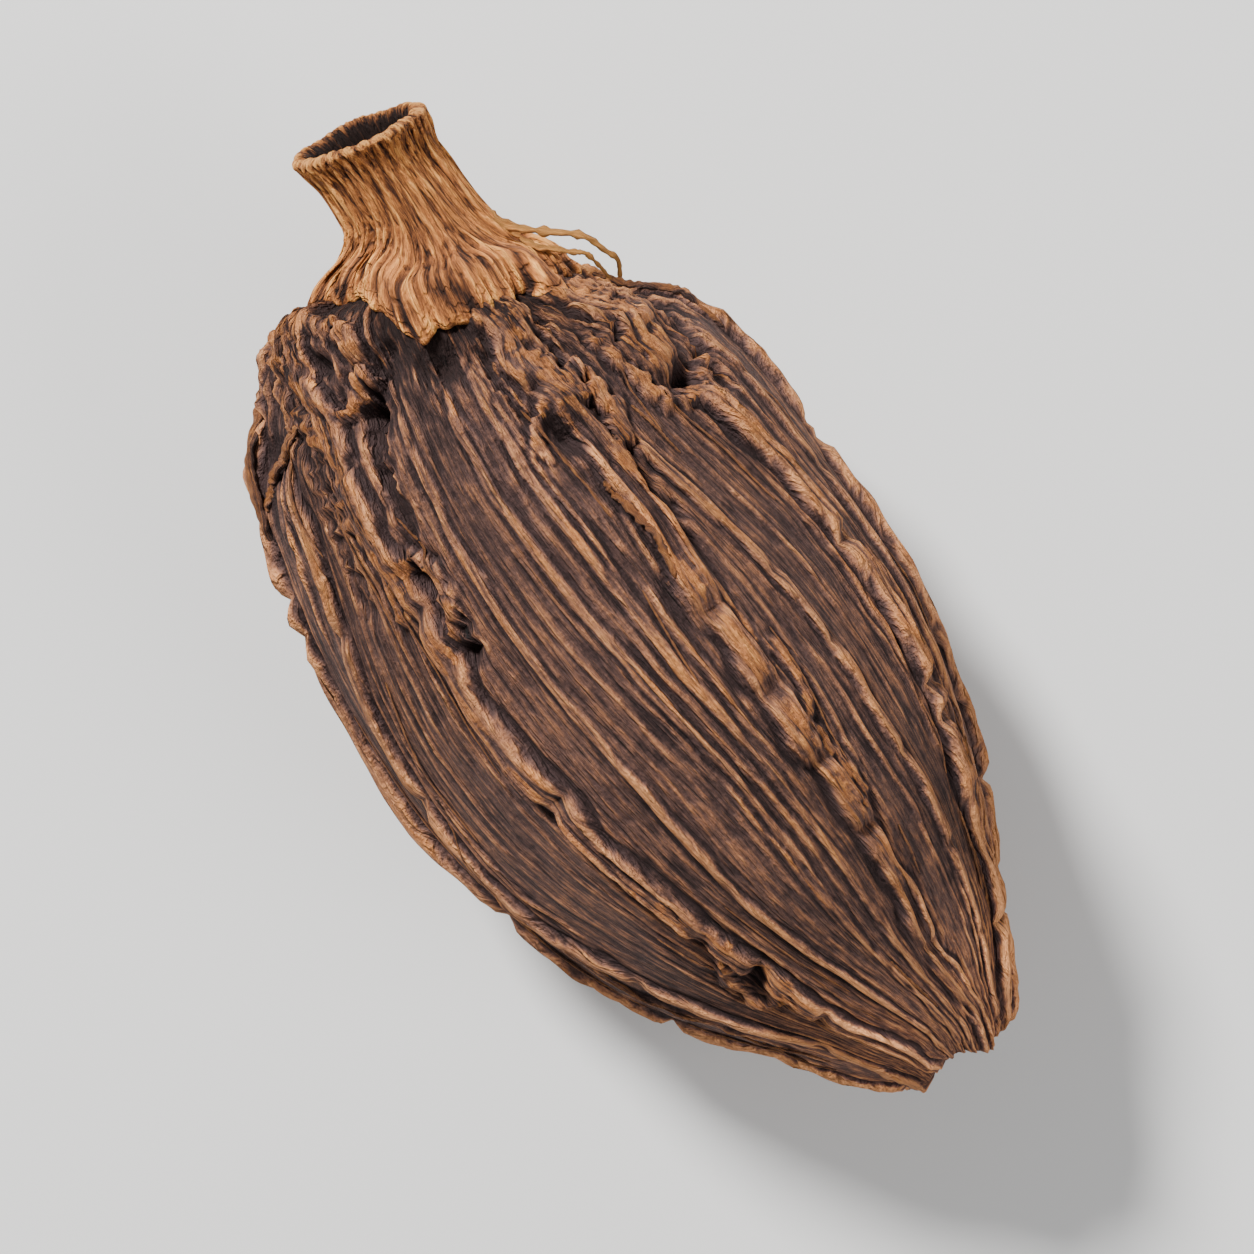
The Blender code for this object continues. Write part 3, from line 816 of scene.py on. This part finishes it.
# The skirt's rings, which run down its inner side, round its edge and up its outer side. Each is a share of
# the way from the husk's end under the stalk to the skirt's edge, and how far it is off the husk in mm.
SKIRT_INSIDE = ((0.05, 0.3), (0.3, 0.3), (0.55, 0.3), (0.75, 0.3), (0.9, 0.15), (0.98, 0.0))
SKIRT_RIM = ((1.0, -0.02), (1.03, 0.06))
SKIRT_OUTSIDE = ((0.99, 0.26), (0.9, 0.50), (0.75, 0.85))

# Where the skirt's edge and the mouth's lip are, as shares of the stalk's rings.
EDGE_SHARE = 0.345
LIP_SHARE = 0.785


def stalk_ring(place_along, radius, rise, angle, turned=0.16, lean=0.36):
    """A ring of the stalk: a fluted circle at that place from the mouth.

    Its top leans towards the husk, and its +Y side is turned towards it too, both by a slope.
    """
    flutes = 1 + 0.022 * np.cos(12 * angle + 0.7) + 0.030 * np.cos(3 * angle) + 0.02 * np.cos(5 * angle)
    x = place_along - REST_FROM_MOUTH + radius * (lean * np.cos(angle) - turned * np.sin(angle))
    y = HUSK_WIDTH / 2 * 0.19 - radius * flutes * np.sin(angle)
    z = HUSK_HEIGHT / 2 * 1.1 + rise + radius * flutes * np.cos(angle) - PRESSED_DEPTH
    return np.stack([x, y, z], -1)


def rib_tongues(angle):
    """1 where a main rib comes out from under the skirt, less for a lower rib, and 0 between them."""
    out = sum(tall * np.exp(-((from_rib(line, 0.2, angle) / 0.085) ** 2)) for tall, _, _, line in RIBS)
    return out * (1 - ramp(angle, 0.7, 1.0) * (1 - ramp(angle, 2.0, 2.4)))


def stalk_rings(angle):
    """The rings that the stalk runs through: up inside the skirt, round its edge, up the neck and into it."""
    torn = 0.006 * patchy(0 * angle, angle, 53, 0, 20) + 0.005 * patchy(0 * angle, angle, 54, 0, 46)
    edge = skirt_edge(angle) + torn + 0.020 * (rib_tongues(angle) - 0.5)
    lifted = 0.10 * MM * np.clip(patchy(0 * angle, angle, 55, 0, 9), 0, 1.5)

    def over_husk(share, away):
        normal, _ = outward(edge * share, angle)
        off = away * MM + lifted * ramp(np.asarray(share), 0.6, 1.0)
        return core(edge * share, angle) + off[..., None] * normal

    skirt = [over_husk(share, away) for share, away in SKIRT_INSIDE + SKIRT_RIM + SKIRT_OUTSIDE]
    foot = stalk_ring(2.6 * MM, STALK_RADIUS, 0.45 * MM, angle, 0.06, 0.23)
    corner = np.stack([0.75 * skirt[-1][:, 0] + 0.25 * foot[:, 0], foot[:, 1], foot[:, 2]], -1)

    def flare(s):
        """A ring of the concave flare from the skirt, s = 0, up to the foot of the neck, s = 1."""
        return (1 - s) ** 2 * skirt[-1] + 2 * s * (1 - s) * corner + s**2 * foot

    lip = 0.05 * MM * patchy(0 * angle, angle, 57, 0, 5)
    neck = [
        flare(0.33),
        flare(0.67),
        foot,
        stalk_ring(1.5 * MM, STALK_RADIUS * 0.98, 0.7 * MM, angle, 0.12, 0.27),
        stalk_ring(0.75 * MM, STALK_RADIUS * 1.05, 0.9 * MM, angle, 0.16, 0.32),
        stalk_ring(0.34 * MM + lip, STALK_RADIUS * 1.11, 1.0 * MM, angle),
        stalk_ring(0.18 * MM + lip, STALK_RADIUS * 0.98, 1.0 * MM, angle),
        stalk_ring(0.50 * MM + lip, STALK_RADIUS * 0.85, 0.95 * MM, angle),
        stalk_ring(1.4 * MM, STALK_RADIUS * 0.78, 0.7 * MM, angle),
        stalk_ring(STALK_HOLE_DEPTH * 0.65, STALK_HOLE_RADIUS * 0.95, 0.5 * MM, angle),
        stalk_ring(STALK_HOLE_DEPTH, STALK_HOLE_RADIUS * 0.6, 0.2 * MM, angle),
    ]
    return np.stack([*skirt, *neck])


def stalk_surface(rows, columns):
    """(points, relief, lines) of the stalk: a smooth surface through its rings, raised in fibres.

    The fibres are seeded sines round the stalk, which bend as they run along it, so they fray and merge.
    """
    angle = np.linspace(-math.pi, math.pi, columns, endpoint=False)
    t = np.linspace(0, 1, rows)
    points = through(stalk_rings(angle), t)
    along = np.gradient(points, axis=0)
    around = np.roll(points, -1, axis=1) - np.roll(points, 1, axis=1)
    normal = np.cross(along, around)
    normal /= np.maximum(np.linalg.norm(normal, axis=-1, keepdims=True), 1e-12)
    bent = angle[None] + 0.05 * np.sin(TURN * 1.5 * t)[:, None] * np.sin(2 * angle)[None]
    threads = patchy(0.6 * t[:, None], bent, 71, 6, 34) + 0.7 * patchy(0.6 * t[:, None], bent, 72, 12, 62)
    strands = np.minimum(np.abs(patchy(0.4 * t[:, None], bent, 73, 5, 22)), 0.8) - 0.45
    strands += 0.7 * np.minimum(np.abs(patchy(0.4 * t[:, None], bent, 75, 7, 44)), 0.7) - 0.3
    spread = ramp(t, 0.30, 0.36)[:, None] * (1 - ramp(t, 0.48, 0.60))[:, None]
    threads = threads * (1 - 0.6 * spread) + 1.2 * spread * patchy(0.6 * t[:, None], bent, 74, 3, 90)
    outer = ramp(t, 0.26, 0.34)[:, None]
    inner = ramp(t, 0.80, 0.86)[:, None]
    over_ribs = spread * rib_tongues(angle)[None]
    relief = 0.6 * threads + 1.1 * strands
    lip = np.exp(-(((t - LIP_SHARE) / 0.04) ** 4))[:, None]
    height = MM * (0.055 * outer + 0.03) * relief * (1 - 0.5 * inner) * (1 - 0.75 * lip)
    height = height + 0.30 * MM * over_ribs
    return points + height[..., None] * normal, relief, angle


def stalk_finish():
    """Tan brown fibres, darker between and inside, with a pale rim to the mouth and to the skirt."""
    finish = Finish("stalk")
    skin = finish.attribute("skin", "Vector")
    place = finish.node("ShaderNodeTexCoord", output="Object")
    relief = finish.attribute("relief")
    pale = finish.attribute("pale")
    hollow = finish.attribute("hollow")
    widened = finish.attribute("widened")
    finer = finish.node("ShaderNodeVectorMath", {"operation": "MULTIPLY"}, {0: skin, 1: (2.4, 2.4, 0.28)})
    streaks = finish.noise(skin, 4.6, 5.0, 0.7) * (1 - widened)
    streaks = streaks + finish.noise(finer, 4.6, 5.0, 0.7) * widened
    threads = finish.noise(skin, 13.0, 4.0, 0.75) * (1 - widened)
    threads = threads + finish.noise(finer, 13.0, 3.0, 0.7) * widened
    blotches = finish.noise(place, 420.0, 3.0, 0.55)
    cracks = finish.hairlines(skin, 4.2, 0.07)
    # Raised fibres are lighter and the gaps between them darker, partly their own colour and partly painted
    # shade. The hollow value darkens the inside of the mouth and the underside of the skirt as painted shade.
    level = 0.61 + relief * (0.24 + 0.12 * widened)
    level = level + (streaks - 0.5) + (threads - 0.5) * 1.2 + (blotches - 0.5) * 0.3
    level = level - cracks * (0.24 - 0.16 * widened) + pale * 0.30 - hollow * 0.8 - widened * 0.12
    colour = finish.colours(
        level,
        (0.05, (0.020, 0.007, 0.004)),
        (0.26, (0.110, 0.036, 0.012)),
        (0.48, (0.330, 0.112, 0.032)),
        (0.70, (0.640, 0.232, 0.056)),
        (0.95, (1.000, 0.460, 0.120)),
    )
    finish.feed(finish.shader.inputs["Base Color"], colour)
    finish.feed(finish.shader.inputs["Roughness"], 0.78 - (threads - 0.5) * 0.25)
    finish.feed(finish.shader.inputs["Specular IOR Level"], 0.25)
    grain = threads + streaks * 0.6 - cracks * 0.4
    finish.feed(finish.shader.inputs["Normal"], finish.bump(grain, 0.00028))
    return finish.material


stalk_points, stalk_relief, stalk_angle = stalk_surface(STALK_ROWS, STALK_COLUMNS)
stalk_share = np.linspace(0, 1, STALK_ROWS)[:, None] + 0 * stalk_angle
stalk_rows = stalk_points[:, ::-1]
stalk_mesh = tubes_mesh("stalk_stub", [(stalk_rows, stalk_rows[0].mean(0), stalk_rows[-1].mean(0))])


def with_poles(values, first, last):
    """The grid's values in the order of the mesh's points, which go round the other way, then its poles'."""
    return np.concatenate([values[:, ::-1].ravel(), [first, last]])


at_lip = np.exp(-(((stalk_share - LIP_SHARE) / 0.026) ** 2))
at_edge = np.exp(-(((stalk_share - EDGE_SHARE) / 0.035) ** 2))
on_skirt = ramp(stalk_share, 0.30, 0.34) * (1 - ramp(stalk_share, 0.44, 0.58))
# Painted shade inside the mouth and on the skirt's underside, carried by the hollow value.
out_of_light = ramp(stalk_share, 0.81, 0.87) + 1 - ramp(stalk_share, 0.2, 0.3)
paint(stalk_mesh, "relief", with_poles(stalk_relief, 0, 0))
paint(stalk_mesh, "widened", with_poles(on_skirt, 0, 0))
paint(stalk_mesh, "pale", with_poles(at_lip + 0.5 * at_edge, 0, 0))
paint(stalk_mesh, "hollow", with_poles(out_of_light, 1, 1))

# The stalk's place in the skin, in mm: its radius, and its length shortened to a sixth.
STALK_SKIN_RADIUS = 3
STALK_SKIN_LENGTH = 24 / 6
stalk_skin = fibre_lines(stalk_angle, STALK_SKIN_RADIUS, STALK_SKIN_LENGTH * stalk_share)[:, ::-1]
skin_poles = ((0, 0, 0), (0, 0, STALK_SKIN_LENGTH))
paint(stalk_mesh, "skin", np.concatenate([stalk_skin.reshape(-1, 3), skin_poles]), "FLOAT_VECTOR")
stalk_material = stalk_finish()
put("stalk_stub", stalk_mesh, stalk_material, "stalk")

# Fibres of the skirt's upper side that have come away from it, each by its radius and the places it runs
# through, in mm, from where it is still grown on.
STRAYS = (
    (0.16, ((-16.2, 3.8, 8.8), (-14.6, 4.5, 9.7), (-13.2, 6.0, 9.9), (-12.0, 6.8, 9.3), (-11.0, 6.5, 8.0))),
    (0.13, ((-14.8, 4.0, 9.5), (-13.4, 4.9, 10.1), (-12.4, 6.0, 10.0), (-11.3, 6.3, 9.0))),
    (0.08, ((-13.6, 3.4, 10.4), (-12.7, 4.2, 10.6), (-12.0, 5.0, 10.3), (-11.6, 5.6, 9.7))),
)
STRAY_STEPS = 60
STRAY_SIDES = 10


def stray(number, radius, places):
    """A stray fibre: a thin band along a smooth line through its places, which thins towards its end."""
    s = np.linspace(0, 1, STRAY_STEPS)
    path = MM * through(places, s)
    for axis in range(3):
        path[:, axis] += 0.04 * MM * sway(s, 2600 + 3 * number + axis, 3)
    up = np.broadcast_to([0.0, 0.0, 1.0], path.shape)
    thinning = radius * MM * (1.15 - 0.7 * s[:, None])
    return band(path, up, thinning, 0.8 * thinning, 2700 + 10 * number, STRAY_SIDES)


# Strays get more relief and paleness on top than on their sides: painted light above and painted shade below.
stray_shades = {"relief": (0.0, 1.0), "pale": (0.40, 0.30), "hollow": (0, 0), "widened": (0, 0)}
strays = [stray(k, *sizes) for k, sizes in enumerate(STRAYS)]
bands_piece("stray_fibres", strays, stray_shades, stalk_material, "stalk")


# A plain pale floor for the pod's shadow to fall on, much larger than the view. It lies just below the pod's
# flat spot, so that the two don't flicker where they meet.
FLOOR_BELOW = 0.1 * MM
floor_mesh = bpy.data.meshes.new("floor")
floor_corners = [(x, y, -FLOOR_BELOW) for x, y in ((-1, -1), (1, -1), (1, 1), (-1, 1))]
floor_mesh.from_pydata(floor_corners, [], [(0, 1, 2, 3)])
floor = bpy.data.objects.new("floor", floor_mesh)
bpy.context.scene.collection.objects.link(floor)
floor_finish = Finish("floor")
floor_finish.feed(floor_finish.shader.inputs["Base Color"], (0.74, 0.73, 0.71, 1))
floor_finish.feed(floor_finish.shader.inputs["Roughness"], 0.9)
floor_mesh.materials.append(floor_finish.material)


# Soft studio light: a soft round light above and to the left of the picture, a weaker and larger one below
# and to its right, and an even pale surround. Both lights point at the pod's middle.
VIEW_TURN = math.radians(56.35)
POD_MIDDLE = (0, 0, 8 * MM)
picture_right = np.array([math.cos(VIEW_TURN), math.sin(VIEW_TURN), 0.0])
picture_up = np.array([-math.sin(VIEW_TURN), math.cos(VIEW_TURN), 0.0])
towards_camera = np.array([0.0, 0.0, 1.0])


def soft_light(name, right, up, near, size, power):
    """An area light at a place given in metres across the picture, up it and towards the camera."""
    data = bpy.data.lights.new(name, "AREA")
    data.shape = "DISK"
    data.size = size
    data.energy = power
    light = bpy.data.objects.new(name, data)
    from_pod = right * picture_right + up * picture_up + near * towards_camera
    light.location = from_pod + POD_MIDDLE
    back = from_pod / np.linalg.norm(from_pod)
    light.rotation_mode = "QUATERNION"
    light.rotation_quaternion = Vector(-back).to_track_quat("-Z", "Y")
    bpy.context.scene.collection.objects.link(light)


soft_light("key", right=-0.20, up=0.24, near=0.26, size=0.09, power=3.9)
soft_light("fill", right=0.30, up=-0.12, near=0.20, size=0.25, power=0.9)
world = bpy.data.worlds.new("studio")
world.use_nodes = True
surround = world.node_tree.nodes["Background"]
surround.inputs["Color"].default_value = (0.93, 0.95, 1.0, 1)
surround.inputs["Strength"].default_value = 0.34
bpy.context.scene.world = world


# The camera looks straight down on the pod, as the photo does, through a long lens, and is rolled so that
# the stalk is up and left and the tip down and right. The pod fills the picture.
VIEW_WIDTH = 43 * MM
VIEW_MIDDLE = (-1.2 * MM, 0.2 * MM, 8 * MM)
camera_data = bpy.data.cameras.new("camera")
camera_data.lens = 90
camera_data.sensor_width = 36
camera = bpy.data.objects.new("camera", camera_data)
bpy.context.scene.collection.objects.link(camera)
distance = VIEW_WIDTH * camera_data.lens / camera_data.sensor_width
turn = np.stack([picture_right, picture_up, towards_camera], 1)
camera.rotation_mode = "QUATERNION"
camera.rotation_quaternion = Matrix(turn.tolist()).to_quaternion()
camera.location = Vector(VIEW_MIDDLE) + Vector(towards_camera * distance)
camera_data.clip_start = 0.01
bpy.context.scene.camera = camera
